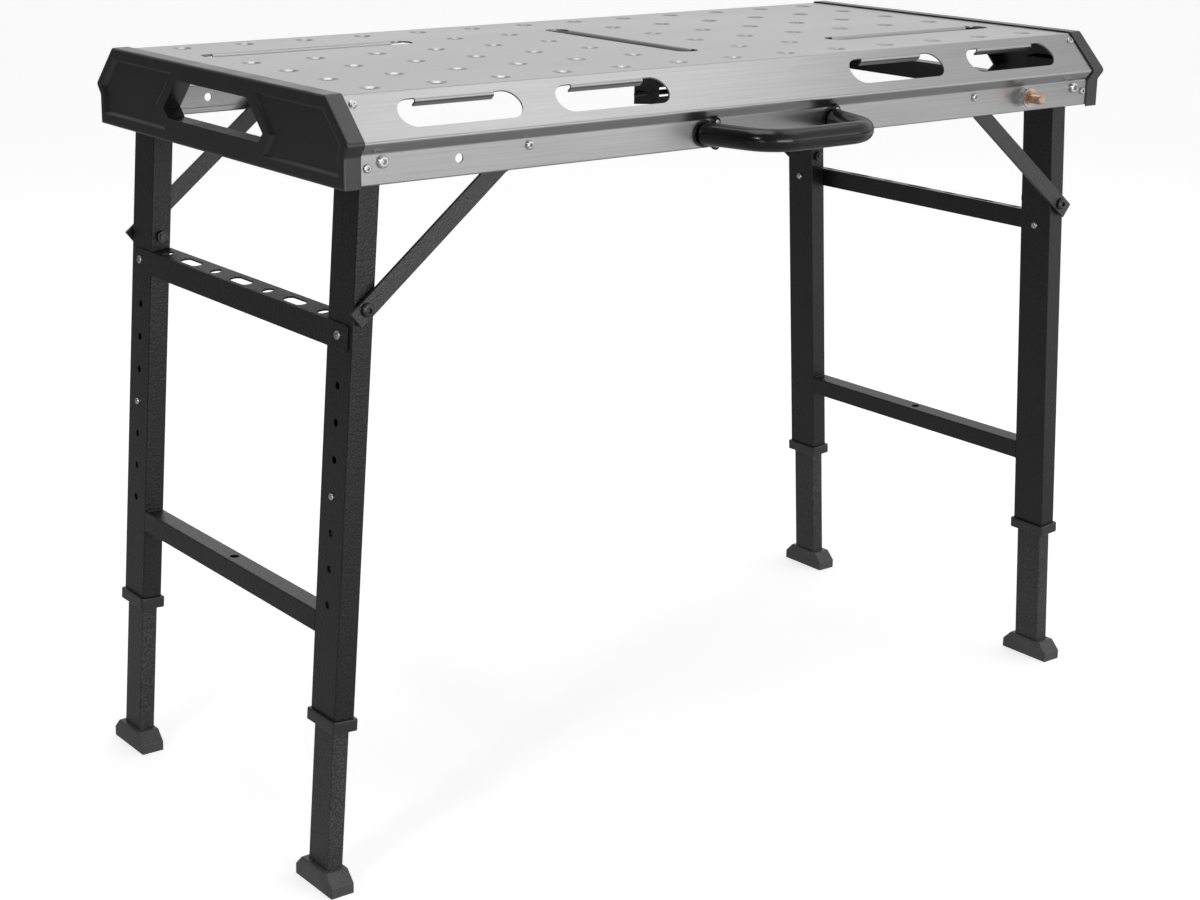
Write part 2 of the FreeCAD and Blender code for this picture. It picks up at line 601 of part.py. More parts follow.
def make_collar():
    """The guide at the upper tube's mouth: a band outside and a sleeve inside."""
    top, low = down(LEG_FOOT), down(LEG_FOOT + COLLAR_LONG)
    a, b = UPPER[0] / 2 + COLLAR_LIP, UPPER[1] / 2 + COLLAR_LIP
    band = box((-PIVOT_X - a, -PIVOT_X + a), (LEG_Y - b, LEG_Y + b), (low, top))
    band = band.makeFillet(3.0, ends_on(band, lambda p: abs(p.z - (low + top) / 2) < 0.01))
    band = band.makeFillet(1.5, ends_on(band, lambda p: abs(p.z - low) < 0.01 or abs(p.z - top) < 0.01))
    a, b = UPPER[0] / 2 - WALL - FREE, UPPER[1] / 2 - WALL - FREE
    sleeve = box((-PIVOT_X - a, -PIVOT_X + a), (LEG_Y - b, LEG_Y + b), (top - 1, top + COLLAR_SLEEVE))
    sleeve_middle = top + (COLLAR_SLEEVE - 1) / 2
    sleeve = sleeve.makeFillet(1.2, ends_on(sleeve, lambda p: abs(p.z - sleeve_middle) < 0.01))
    a, b = LOWER[0] / 2 + FREE, LOWER[1] / 2 + FREE
    bore = box((-PIVOT_X - a, -PIVOT_X + a), (LEG_Y - b, LEG_Y + b), (low - 1, top + COLLAR_SLEEVE + 1))
    bore_middle = (low + top + COLLAR_SLEEVE) / 2
    bore = bore.makeFillet(TUBE_CORNER, ends_on(bore, lambda p: abs(p.z - bore_middle) < 0.01))
    return lean(band.fuse(sleeve).cut(bore).removeSplitter())


def make_tool_rail():
    """The rail across the left frame: a web on the legs' outer faces and a shelf between them."""
    face = -PIVOT_X - UPPER[0] / 2
    outside = face - RAIL_SHEET
    top, low = down(RAIL_AT), down(RAIL_AT + RAIL_HIGH)
    web = box((outside, face), (-RAIL_END, RAIL_END), (low, top))
    web = web.makeFillet(3, ends_on(web, lambda p: abs(abs(p.y) - RAIL_END) < 0.01
                                    and abs(p.x - face + RAIL_SHEET / 2) < 0.01))
    reach = LEG_IN - 0.5
    inner = outside + RAIL_SHELF
    chain = [(outside, low), (outside, top), (inner, top + RAIL_RISE)]
    under = offset_chain(chain, -RAIL_SHEET)
    outline = chain + list(reversed(under))
    angle = prism([V(x, -reach, z) for x, z in outline], Y_AXIS * (2 * reach))
    bend = ends_on(angle, lambda p: abs(p.y) < 1 and math.hypot(p.x - outside, p.z - top) < 0.01)
    rail = web.fuse(angle.makeFillet(1.8, bend)).removeSplitter()
    tilt = math.atan2(RAIL_RISE, RAIL_SHELF)
    over = V(math.cos(tilt), 0, math.sin(tilt))
    into = V(math.sin(tilt), 0, -math.cos(tilt))
    middle = V(outside, 0, top) + over * RAIL_HOLE_LINE - into
    cutters = []
    for place in range(-3, 4):
        spot = middle + Y_AXIS * (place * RAIL_HOLE_PITCH)
        if place % 2:
            cutters.append(rod(spot, spot + into * 5, RAIL_HOLE))
        else:
            cutters.append(obround(spot, Y_AXIS, over, into, RAIL_SLOT, RAIL_HOLE, 5.0))
    for y in (-LEG_Y, LEG_Y):
        z = down(RAIL_SCREW_AT)
        cutters.append(rod(V(face - 5, y, z), V(face + 1, y, z), 5 + 2 * FREE))
    return lean(rail.cut(cutters))


def rail_fasteners():
    z = down(RAIL_SCREW_AT)
    face = -PIVOT_X - UPPER[0] / 2 - RAIL_SHEET
    back = -PIVOT_X + UPPER[0] / 2
    bolt = lean(screw(V(face, LEG_Y, z), X_AXIS, 5, back - face + 2.5, 10, 3))
    lock = lean(cap_nut(V(back, LEG_Y, z), X_AXIS, 5, 9, 4))
    return both_y(bolt), both_y(lock)


def make_crossbar():
    """The lower bar between the two legs of the left frame: a rectangular tube with one hole on top."""
    a, high = CROSSBAR[0] / 2, CROSSBAR[1]
    top = down(CROSSBAR_AT)
    bar = box((-PIVOT_X - a, -PIVOT_X + a), (-LEG_IN, LEG_IN), (top - high, top))
    bar = bar.makeFillet(TUBE_CORNER, ends_on(bar, lambda p: abs(p.y) < 1))
    core = box((-PIVOT_X - a + WALL, -PIVOT_X + a - WALL), (-LEG_IN - 1, LEG_IN + 1),
               (top - high + WALL, top - WALL))
    eye = rod(V(-PIVOT_X, 0, top + 1), V(-PIVOT_X, 0, top - 4), 11)
    return lean(bar.cut([core, eye]))


def brace_pin():
    """Where the brace turns on the left leg, with the lean."""
    turn = math.radians(SPLAY)
    return V(-PIVOT_X - BRACE_AT * math.sin(turn), 0, PIVOT_Z - BRACE_AT * math.cos(turn))


def brace_fasteners():
    """Bolt, nut and spacer washer of the left back brace, on the leg."""
    hub = brace_pin()
    seat = hub + Y_AXIS * (BRACE_Y + BRACE_THICK + GAP)
    bolt = screw(seat, -Y_AXIS, BOLT, seat.y - LEG_IN + 6.5, 15.5, 4.4)
    lock = nut(hub + Y_AXIS * LEG_IN, -Y_AXIS, BOLT, 13, 5)
    shim = washer(hub + Y_AXIS * LEG_OUT, Y_AXIS, BOLT + 2 * FREE, 15, BRACE_Y - LEG_OUT - GAP)
    return both_y(bolt), both_y(lock), both_y(shim)


def make_brace():
    """The left back brace: a flat bar with a pin hole, a jogged tip and a leaning open hook."""
    hub = brace_pin()
    hook = V(-HOOK_X, 0, HOOK_Z)
    along = (hook - hub).normalize()
    over = V(-along.z, 0, along.x)
    reach = (hook - hub).Length
    jog0, jog1 = reach - 34, reach - 21
    near = [(-BRACE_TAIL, 0), (jog0, 0), (jog1, BRACE_JOG), (reach + BRACE_TIP, BRACE_JOG)]
    far = [(u, y + BRACE_THICK) for u, y in reversed(near)]
    outline = [hub + along * u + Y_AXIS * (BRACE_Y + y) - over * (BRACE_WIDE / 2) for u, y in near + far]
    bar = prism(outline, over * BRACE_WIDE)
    tip = hub + along * (reach + BRACE_TIP)
    corners = ends_on(bar, lambda p: abs((p - tip).dot(along)) < 0.01
                      and abs(abs((p - tip).dot(over)) - BRACE_WIDE / 2) < 0.01)
    bar = bar.makeFillet(7.0, corners)
    lean_back = math.radians(HOOK_LEAN)
    mouth = over * math.cos(lean_back) - along * math.sin(lean_back)
    side = along * math.cos(lean_back) + over * math.sin(lean_back)
    base = hook + Y_AXIS * BRACE_Y
    strip = [base + side * (a * HOOK_SLOT / 2) + mouth * b
             for a, b in ((-1, 0), (1, 0), (1, 30), (-1, 30))]
    deep = BRACE_JOG + BRACE_THICK + 1
    slot = prism(strip, Y_AXIS * deep).fuse(rod(base, base + Y_AXIS * deep, HOOK_SLOT))
    pin_hole = rod(hub + Y_AXIS * (BRACE_Y - 1), hub + Y_AXIS * (BRACE_Y + BRACE_THICK + 1),
                   BOLT + 2 * RUNNING)
    return bar.cut([slot, pin_hole])


def hook_fasteners():
    seat = V(-HOOK_X, APRON_HALF, HOOK_Z)
    pin = screw(seat, -Y_AXIS, HOOK_PIN, APRON_HALF - HOOK_PIN_END, 10.5, 3.3)
    lock = nut(V(-HOOK_X, APRON_IN, HOOK_Z), -Y_AXIS, HOOK_PIN, 10, 3)
    return all_corners(pin), all_corners(lock)


def pivot_fasteners():
    """Bolts, spacers and nuts of the four leg pivots; they stay with the top."""
    hub = V(-PIVOT_X, 0, PIVOT_Z)
    bolt = screw(hub + Y_AXIS * APRON_HALF, -Y_AXIS, BOLT, APRON_HALF - LEG_IN + 10, 14, 4.4)
    spacer = washer(hub + Y_AXIS * (LEG_OUT + GAP), Y_AXIS, BOLT + 2 * FREE, 17, APRON_IN - LEG_OUT - GAP)
    lock = nut(hub + Y_AXIS * (LEG_IN - GAP), -Y_AXIS, BOLT, 13, 8)
    return all_corners(bolt), all_corners(spacer), all_corners(lock)


# ---------------------------------------------------------------- lower legs
def foot_axis_x(z):
    """Where the leaning centre line of the left legs is at a height."""
    return -PIVOT_X - (PIVOT_Z - z) * math.tan(math.radians(SPLAY))


def make_lower_leg():
    end = (PIVOT_Z - FOOT_SOCKET) / math.cos(math.radians(SPLAY))
    leg = tube(LOWER[0], LOWER[1], WALL, down(end), down(LOWER_HEAD), -PIVOT_X, LEG_Y)
    z = down(SNAP_AT)
    window = rod(V(-PIVOT_X - 20, LEG_Y, z), V(-PIVOT_X, LEG_Y, z), BUTTON + 0.3)
    return lean(leg.cut(window))


def make_foot():
    """A foot flat on the floor, its crest shorter than its base, with a socket for the tube."""
    a = FOOT[0] / 2
    b, crest = FOOT[1] / 2, FOOT_CREST / 2
    x = foot_axis_x(0)
    outline = [(-b, 0), (b, 0), (b, FOOT_EDGE), (crest, FOOT_HIGH), (-crest, FOOT_HIGH), (-b, FOOT_EDGE)]
    block = prism([V(x - a, LEG_Y + y, z) for y, z in outline], X_AXIS * FOOT[0])
    block = block.makeFillet(1.2, ends_on(block, lambda p: p.z > 1))
    end = (PIVOT_Z - FOOT_SOCKET) / math.cos(math.radians(SPLAY))
    p, q = LOWER[0] / 2, LOWER[1] / 2
    pocket = box((-PIVOT_X - p, -PIVOT_X + p), (LEG_Y - q, LEG_Y + q), (down(end), down(end - 60)))
    pocket = pocket.makeFillet(TUBE_CORNER, ends_on(pocket, lambda c: abs(c.z - down(end - 30)) < 0.01))
    return block.cut(lean(pocket))


def make_button():
    """The snap button: a domed pin with a flange behind the lower tube's wall."""
    z = down(SNAP_AT)
    tip = -PIVOT_X - UPPER[0] / 2 - BUTTON_STANDS
    seat = -PIVOT_X - LOWER[0] / 2 + WALL + 0.2
    pin = rod(V(tip, LEG_Y, z), V(seat + 1.5, LEG_Y, z), BUTTON)
    pin = pin.makeFillet(2.4, ends_on(pin, lambda p: abs(p.x - tip) < 0.01))
    flange = rod(V(seat, LEG_Y, z), V(seat + 1.5, LEG_Y, z), BUTTON + 4)
    return lean(pin.fuse(flange).removeSplitter())


def make_button_spring():
    """The V-shaped leaf spring behind the button, one arm on the far wall of the lower tube."""
    z = down(SNAP_AT)
    seat = -PIVOT_X - LOWER[0] / 2 + WALL + 0.2 + 1.5
    far = -PIVOT_X + LOWER[0] / 2 - WALL
    strip, bend_low = 0.6, z - 48
    outline = [(seat, z + 8), (seat + strip, z + 8), (far - 5, bend_low + 4), (far - strip, z + 4),
               (far, z + 4), (far, bend_low), (far - 5, bend_low), (seat, z - 6)]
    points = [V(x, LEG_Y - 6, height) for x, height in outline]
    return lean(prism(points, Y_AXIS * 12))


# ---------------------------------------------------------------- every node
def write_root():
    write("top_sheet", make_top_sheet())
    cap = make_end_cap()
    write("end_cap_left", cap)
    write("end_cap_right", flip_x(cap))
    write("end_cap_screws", *make_cap_screws())
    clips = both_y(make_leg_clip())
    write("leg_clips_left", *clips)
    write("leg_clips_right", *[flip_x(c) for c in clips])
    write("leg_clip_pins", *all_corners(make_clip_pin()))
    write("carry_handle", make_handle())
    write("handle_flanges", *make_handle_flanges())
    write("handle_screws", *make_handle_screws())
    stud, nuts, washers = earth_pieces()
    write("earth_stud", stud)
    write("earth_nuts", *nuts)
    write("earth_washers", *washers)
    bolts, spacers, nuts = pivot_fasteners()
    write("leg_pivot_bolts", *bolts)
    write("leg_pivot_spacers", *spacers)
    write("leg_pivot_nuts", *nuts)
    pins, nuts = hook_fasteners()
    write("brace_hook_screws", *pins)
    write("brace_hook_nuts", *nuts)


def write_sides():
    """Both leg frames: the left one as drawn, the right one mirrored."""
    legs = both_y(make_upper_leg())
    collars = both_y(make_collar())
    rail_bolts, rail_nuts = rail_fasteners()
    pins, nuts, shims = brace_fasteners()
    braces = both_y(make_brace())
    lower = both_y(make_lower_leg())
    feet = both_y(make_foot())
    buttons = both_y(make_button())
    springs = both_y(make_button_spring())
    single = {"tool_rail": [make_tool_rail()], "lower_crossbar": [make_crossbar()],
              "leg_collars": collars, "rail_screws": rail_bolts, "rail_nuts": rail_nuts,
              "brace_bolts": pins, "brace_nuts": nuts, "brace_washers": shims}
    by_row = {"upper_leg": legs, "brace": braces, "lower_leg": lower, "leg_foot": feet,
              "snap_button": buttons, "button_spring": springs}
    for side, place in (("left", lambda s: s), ("right", flip_x)):
        for name, shapes in single.items():
            write(name + "_" + side, *[place(s) for s in shapes])
        for name, shapes in by_row.items():
            for row, shape in zip(("back", "front"), shapes):
                write("_".join((name, row, side)), place(shape))


def main():
    os.makedirs("parts", exist_ok=True)
    write_root()
    write_sides()


main()
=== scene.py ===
import json
import math

import bmesh
import bpy
from mathutils import Matrix, Vector


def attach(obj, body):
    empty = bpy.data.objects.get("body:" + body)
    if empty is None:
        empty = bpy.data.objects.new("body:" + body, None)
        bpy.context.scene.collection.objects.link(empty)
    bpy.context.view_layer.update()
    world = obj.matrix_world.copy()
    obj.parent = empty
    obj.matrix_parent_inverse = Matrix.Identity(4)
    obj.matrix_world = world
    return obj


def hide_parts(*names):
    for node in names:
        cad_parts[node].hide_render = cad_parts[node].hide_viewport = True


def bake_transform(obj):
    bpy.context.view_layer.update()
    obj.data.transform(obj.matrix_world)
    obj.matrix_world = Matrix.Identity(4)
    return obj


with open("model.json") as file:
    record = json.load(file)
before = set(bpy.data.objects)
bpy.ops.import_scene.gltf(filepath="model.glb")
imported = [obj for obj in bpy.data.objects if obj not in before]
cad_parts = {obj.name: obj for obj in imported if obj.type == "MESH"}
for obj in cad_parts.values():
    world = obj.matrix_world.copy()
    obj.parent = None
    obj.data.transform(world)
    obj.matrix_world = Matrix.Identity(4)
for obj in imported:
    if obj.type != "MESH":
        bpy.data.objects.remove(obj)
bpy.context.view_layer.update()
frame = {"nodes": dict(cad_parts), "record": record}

# ---------------------------------------------------------------- camera
CAMERA_AT = Vector((-1.7050, -2.0779, 1.1783))
CAMERA_TURN = math.radians(-36.833)
CAMERA_DOWN = math.radians(15.692)
CAMERA_ROLL = math.radians(-0.618)
SENSOR, LENS = 36.0, 65.35
SHIFT = (0.046, -0.043)
CLIP_END = 200.0

# ---------------------------------------------------------------- light
# Stops are (position, tone). The room goes from its left to its right, and dims towards the ceiling.
ROOM_ACROSS = [(0.0, 0.04), (0.35, 0.42), (0.7, 0.95)]
ROOM_UP = [(0.25, 1.0), (1.0, 0.55)]
FLOOR_SIZE = 40.0
FLOOR_TONE, FLOOR_UNEVEN, FLOOR_GLOW = 0.62, 0.01, 0.64
# What the floor throws on the object, from the back left to the front right. The stops' positions
# run by BOUNCE_PER_METRE along x and against y, and the origin is at BOUNCE_ORIGIN.
FLOOR_BOUNCE = [(0.05, 0.05), (0.20, 0.26), (0.42, 0.42), (0.50, 0.60),
                (0.63, 1.4), (0.69, 0.7), (0.80, 0.12)]
BOUNCE_PER_METRE, BOUNCE_ORIGIN = 0.04, 0.4
# name, place, target, (width, height), power in watts
SOFTBOXES = [
    ("overhead", (-0.3, 0.2, 3.4), (0, 0, 0.8), (2.2, 1.6), 26),
    ("slope_side", (1.3, -0.7, 3.2), (0, -0.2, 0.85), (2.2, 1.4), 9.5),
    ("front_key", (-0.3, -4.0, 0.9), (0, -0.2, 0.6), (2.4, 0.9), 45),
    ("front_right", (3.0, -4.0, 0.9), (0, 0, 0.8), (2.0, 0.8), 9),
    ("left_spark", (-3.5, -1.5, 2.5), (0, 0, 0.6), (0.4, 0.4), 20),
    ("edge_card", (-3.4, -2.3, 0.55), (-0.5, 0, 0.7), (0.7, 1.0), 5),
]

# ---------------------------------------------------------------- sizes of the small pieces, in metres
MIDDLE_Y = 0.04644                        # the table's middle line in the shared frame
PIVOT = (0.5277, 0.811)                   # leg pivot: distance from the middle, height
SPLAY = math.radians(3.93)
LEG_INNER_Y = 0.2025
CROSSBAR_TOP, CROSSBAR_SIDE = 0.4985, 0.025                     # along the leg from its pivot
BEAD_RADIUS, BEAD_RIPPLE = 0.0021, 0.0031
BEAD_RINGS, BEAD_SIDES = 40, 12
BEAD_SHORT, BEAD_SINK = 0.0015, 0.0006    # short of the bar's corners, and away from the leg's wall
STUD = (0.433, 0.806)                     # the stud's axis: x, height
STUD_RADIUS, STUD_FROM, STUD_TO = 0.0060, 0.2887, 0.3040        # in front of the middle line
THREAD_PITCH, THREAD_DEEP = 0.00175, 0.00045
THREAD_FLANK, THREAD_SINK = 0.9, 0.00008  # the ridge's share of the pitch, and its foot in the bar
THREAD_STEPS, THREAD_FADE = 24, 12        # points in a turn, and how many the ridge rises over
EDGE_ROUNDING = 0.0012                    # how far in from an edge it is shaded as rounded
SIDES = ((-1, "left"), (1, "right"))
ROWS = ("back", "front")


def add_camera():
    data = bpy.data.cameras.new("camera")
    data.sensor_width = SENSOR
    data.lens = LENS
    data.shift_x, data.shift_y = SHIFT
    data.clip_end = CLIP_END
    camera = bpy.data.objects.new("camera", data)
    bpy.context.scene.collection.objects.link(camera)
    level = math.pi / 2 - CAMERA_DOWN
    turn = Matrix.Rotation(CAMERA_TURN, 4, "Z") @ Matrix.Rotation(level, 4, "X")
    roll = Matrix.Rotation(-CAMERA_ROLL, 4, "Z")
    camera.matrix_world = Matrix.Translation(CAMERA_AT) @ turn @ roll
    bpy.context.scene.camera = camera


# ---------------------------------------------------------------- node helpers
def new_material(name, colour, metallic, roughness, specular=0.5):
    material = bpy.data.materials.new(name)
    material.use_nodes = True
    shader = material.node_tree.nodes["Principled BSDF"]
    shader.inputs["Base Color"].default_value = (*colour, 1.0)
    shader.inputs["Metallic"].default_value = metallic
    shader.inputs["Roughness"].default_value = roughness
    shader.inputs["Specular IOR Level"].default_value = specular
    return material, material.node_tree, shader


def noise(tree, scale, detail, stretch=(1, 1, 1), distortion=0.0):
    """A noise texture on object coordinates, stretched by a mapping."""
    where = tree.nodes.new("ShaderNodeTexCoord")
    mapping = tree.nodes.new("ShaderNodeMapping")
    mapping.inputs["Scale"].default_value = stretch
    texture = tree.nodes.new("ShaderNodeTexNoise")
    texture.inputs["Scale"].default_value = scale
    texture.inputs["Detail"].default_value = detail
    texture.inputs["Distortion"].default_value = distortion
    tree.links.new(where.outputs["Object"], mapping.inputs["Vector"])
    tree.links.new(mapping.outputs["Vector"], texture.inputs["Vector"])
    return texture.outputs["Fac"]


def ramp(tree, source, stops):
    """Colours or greys along a source value; stops are (position, colour)."""
    node = tree.nodes.new("ShaderNodeValToRGB")
    elements = node.color_ramp.elements
    while len(elements) < len(stops):
        elements.new(0.5)
    for element, (position, colour) in zip(elements, stops):
        element.position = position
        value = colour if isinstance(colour, tuple) else (colour, colour, colour)
        element.color = (*value, 1.0)
    tree.links.new(source, node.inputs["Fac"])
    return node.outputs["Color"]


def spread(tree, source):
    """A value from -1 to 1, brought to 0 to 1 for a ramp."""
    node = tree.nodes.new("ShaderNodeMath")
    node.operation = "MULTIPLY_ADD"
    node.inputs[1].default_value = 0.5
    node.inputs[2].default_value = 0.5
    tree.links.new(source, node.inputs[0])
    return node.outputs["Value"]


def blend_colours(tree, kind, factor, a, b):
    node = tree.nodes.new("ShaderNodeMix")
    node.data_type = "RGBA"
    node.blend_type = kind
    node.inputs[0].default_value = factor
    tree.links.new(a, node.inputs[6])
    tree.links.new(b, node.inputs[7])
    return node.outputs[2]


def multiply(tree, a, b):
    return blend_colours(tree, "MULTIPLY", 1.0, a, b)


def seen_or_thrown(tree, seen, thrown, surface):
    """One shader for what is seen directly, and another for what it throws on the object."""
    path = tree.nodes.new("ShaderNodeLightPath")
    choice = tree.nodes.new("ShaderNodeMixShader")
    tree.links.new(path.outputs["Is Camera Ray"], choice.inputs["Fac"])
    tree.links.new(thrown, choice.inputs[1])
    tree.links.new(seen, choice.inputs[2])
    tree.links.new(choice.outputs["Shader"], surface)


def bump(tree, shader, layers, edge=0.0):
    """Stack bump layers, each (height, strength, distance), onto a shader; edge softens corners."""
    normal = None
    if edge:
        soft = tree.nodes.new("ShaderNodeBevel")
        soft.samples = 4
        soft.inputs["Radius"].default_value = edge
        normal = soft.outputs["Normal"]
    for height, strength, distance in layers:
        node = tree.nodes.new("ShaderNodeBump")
        node.inputs["Strength"].default_value = strength
        node.inputs["Distance"].default_value = distance
        tree.links.new(height, node.inputs["Height"])
        if normal:
            tree.links.new(normal, node.inputs["Normal"])
        normal = node.outputs["Normal"]
    tree.links.new(normal, shader.inputs["Normal"])


# ---------------------------------------------------------------- studio
def add_world():
    """A white backdrop. The light it throws is a grey room's, darker on the left and overhead."""
    world = bpy.data.worlds.new("studio")
    world.use_nodes = True
    tree = world.node_tree
    room = tree.nodes["Background"]
    where = tree.nodes.new("ShaderNodeTexCoord")
    parts = tree.nodes.new("ShaderNodeSeparateXYZ")
    tree.links.new(where.outputs["Generated"], parts.inputs["Vector"])
    across = ramp(tree, spread(tree, parts.outputs["X"]), ROOM_ACROSS)
    height = ramp(tree, parts.outputs["Z"], ROOM_UP)
    tree.links.new(multiply(tree, across, height), room.inputs["Color"])
    backdrop = tree.nodes.new("ShaderNodeBackground")
    backdrop.inputs["Color"].default_value = (1.0, 1.0, 1.0, 1.0)
    seen_or_thrown(tree, backdrop.outputs["Background"], room.outputs["Background"],
                   tree.nodes["World Output"].inputs["Surface"])
    bpy.context.scene.world = world
    bpy.context.scene.view_settings.view_transform = "Standard"


def add_softbox(name, place, target, size, power):
    data = bpy.data.lights.new(name, "AREA")
    data.shape = "RECTANGLE"
    data.size, data.size_y = size
    data.energy = power
    lamp = bpy.data.objects.new(name, data)
    bpy.context.scene.collection.objects.link(lamp)
    aim = (Vector(target) - Vector(place)).to_track_quat("-Z", "Y")
    lamp.matrix_world = Matrix.Translation(place) @ aim.to_matrix().to_4x4()


def floor_material():
    """A pale floor. What it throws is dim at the back left and brightest at the front right."""
    material, tree, shader = new_material("floor_pale", (FLOOR_TONE,) * 3, 0.0, 0.7, 0.1)
    tones = [(0.3, FLOOR_TONE - FLOOR_UNEVEN), (0.7, FLOOR_TONE + FLOOR_UNEVEN)]
    tree.links.new(ramp(tree, noise(tree, 0.6, 3.0), tones), shader.inputs["Base Color"])
    shader.inputs["Emission Color"].default_value = (1.0, 1.0, 1.0, 1.0)
    shader.inputs["Emission Strength"].default_value = FLOOR_GLOW
    where = tree.nodes.new("ShaderNodeTexCoord")
    reach = tree.nodes.new("ShaderNodeVectorMath")
    reach.operation = "DOT_PRODUCT"
    reach.inputs[1].default_value = (BOUNCE_PER_METRE, -BOUNCE_PER_METRE, 0.0)
    tree.links.new(where.outputs["Object"], reach.inputs[0])
    shifted = tree.nodes.new("ShaderNodeMath")
    shifted.operation = "ADD"
    shifted.inputs[1].default_value = BOUNCE_ORIGIN
    tree.links.new(reach.outputs["Value"], shifted.inputs[0])
    bounce = tree.nodes.new("ShaderNodeEmission")
    tree.links.new(ramp(tree, shifted.outputs["Value"], FLOOR_BOUNCE), bounce.inputs["Color"])
    seen_or_thrown(tree, shader.outputs["BSDF"], bounce.outputs["Emission"],
                   tree.nodes["Material Output"].inputs["Surface"])
    return material


def add_floor():
    mesh = bpy.data.meshes.new("floor")
    build = bmesh.new()
    bmesh.ops.create_grid(build, x_segments=4, y_segments=4, size=FLOOR_SIZE)
    build.to_mesh(mesh)
    build.free()
    floor = bpy.data.objects.new("floor", mesh)
    bpy.context.scene.collection.objects.link(floor)
    mesh.materials.append(floor_material())


# ---------------------------------------------------------------- materials
def painted_shade_facing_down(tree, dark):
    """Painted shade: 1 on faces that look up or sideways, falling to dark on faces that look down."""
    where = tree.nodes.new("ShaderNodeTexCoord")
    parts = tree.nodes.new("ShaderNodeSeparateXYZ")
    tree.links.new(where.outputs["Normal"], parts.inputs["Vector"])
    return ramp(tree, spread(tree, parts.outputs["Z"]), [(0.30, dark), (0.45, 1.0)])


def sheet_steel_material():
    """Ground sheet steel: brushing along the table, faint clouds and stains, and painted shade that darkens
    the down-facing sides.
    """
    material, tree, shader = new_material("sheet_steel_ground", (0.5, 0.5, 0.5), 1.0, 0.36)
    brushing = noise(tree, 6.0, 6.0, (1.2, 90, 90))
    fine = noise(tree, 30.0, 4.0, (0.8, 60, 60))
    clouds = noise(tree, 3.5, 3.0, (0.6, 2.0, 2.0))
    stains = noise(tree, 11.0, 5.0, (0.5, 1.0, 1.0), 0.6)
    tone = ramp(tree, brushing, [(0.25, 0.40), (0.75, 0.47)])
    tone = multiply(tree, tone, ramp(tree, clouds, [(0.3, 0.90), (0.7, 1.0)]))
    tone = multiply(tree, tone, ramp(tree, stains, [(0.62, 1.0), (0.75, 0.93)]))
    # painted shade: faces that look down are darkened to 0.8 of their tone
    tone = multiply(tree, tone, painted_shade_facing_down(tree, 0.8))
    tree.links.new(tone, shader.inputs["Base Color"])
    grain = ramp(tree, fine, [(0.2, 0.0), (0.8, 1.0)])
    haze = ramp(tree, clouds, [(0.3, 0.0), (0.7, 1.0)])
    rough = ramp(tree, blend_colours(tree, "MIX", 0.5, grain, haze), [(0.0, 0.24), (1.0, 0.40)])
    tree.links.new(rough, shader.inputs["Roughness"])
    bump(tree, shader, [(brushing, 0.12, 0.0004), (fine, 0.10, 0.0002)])
    return material


def galvanised_material(name, colour, roughness):
    """Zinc-coated sheet: soft spangle of flat crystals and a dull bloom."""
    material, tree, shader = new_material(name, colour, 1.0, roughness)
    where = tree.nodes.new("ShaderNodeTexCoord")
    cells = tree.nodes.new("ShaderNodeTexVoronoi")
    cells.inputs["Scale"].default_value = 140.0
    tree.links.new(where.outputs["Object"], cells.inputs["Vector"])
    dull = tuple(c * 0.82 for c in colour)
    bright = tuple(min(1.0, c * 1.12) for c in colour)
    spangle = ramp(tree, cells.outputs["Color"], [(0.2, dull), (0.9, bright)])
    tree.links.new(spangle, shader.inputs["Base Color"])
    bloom = noise(tree, 40.0, 3.0)
    rough = ramp(tree, bloom, [(0.3, roughness - 0.07), (0.7, roughness + 0.1)])
    tree.links.new(rough, shader.inputs["Roughness"])
    bump(tree, shader, [(bloom, 0.08, 0.0003)])
    return material


def powder_coat_material(name, low, high, specular, roughness, grain):
    """Powder coat: orange-peel skin, a fine speckle and a slightly uneven tone."""
    material, tree, shader = new_material(name, (low, low, low), 0.0, roughness, specular)
    peel = noise(tree, grain, 3.0)
    speck = noise(tree, grain * 1.7, 2.0)
    tone = ramp(tree, noise(tree, 9.0, 3.0), [(0.3, low), (0.7, high)])
    colour = multiply(tree, tone, ramp(tree, speck, [(0.40, 0.25), (0.62, 1.0)]))
    tree.links.new(colour, shader.inputs["Base Color"])
    rough = ramp(tree, speck, [(0.3, roughness - 0.08), (0.7, roughness + 0.08)])
    tree.links.new(rough, shader.inputs["Roughness"])
    bump(tree, shader, [(peel, 0.5, 0.0010), (speck, 0.5, 0.0006)], EDGE_ROUNDING)
    return material


def moulded_plastic_material(name, low, high, specular, roughness, grain, strength):
    """Moulded plastic with a spark-eroded grain; a higher tone on rubbed places."""
    material, tree, shader = new_material(name, (low, low, low), 0.0, roughness, specular)
    texture = noise(tree, grain, 2.0)
    rub = noise(tree, 16.0, 5.0, distortion=0.5)
    tone = ramp(tree, rub, [(0.35, low), (0.8, high)])
    colour = multiply(tree, tone, ramp(tree, texture, [(0.35, 1 - 1.6 * strength), (0.65, 1.0)]))
    tree.links.new(colour, shader.inputs["Base Color"])
    rough = ramp(tree, rub, [(0.3, roughness + 0.05), (0.8, roughness - 0.07)])
    tree.links.new(rough, shader.inputs["Roughness"])
    bump(tree, shader, [(texture, strength, 0.0005)], EDGE_ROUNDING)
    return material


def plated_material(name, dark, light, roughness):
    """Plated fastener: small dull patches and a fine grain."""
    material, tree, shader = new_material(name, light, 1.0, roughness)
    patches = noise(tree, 180.0, 4.0)
    tree.links.new(ramp(tree, patches, [(0.3, dark), (0.65, light)]), shader.inputs["Base Color"])
    rough = ramp(tree, patches, [(0.3, roughness + 0.12), (0.7, roughness)])
    tree.links.new(rough, shader.inputs["Roughness"])
    bump(tree, shader, [(noise(tree, 900.0, 2.0), 0.1, 0.0001)])
    return material


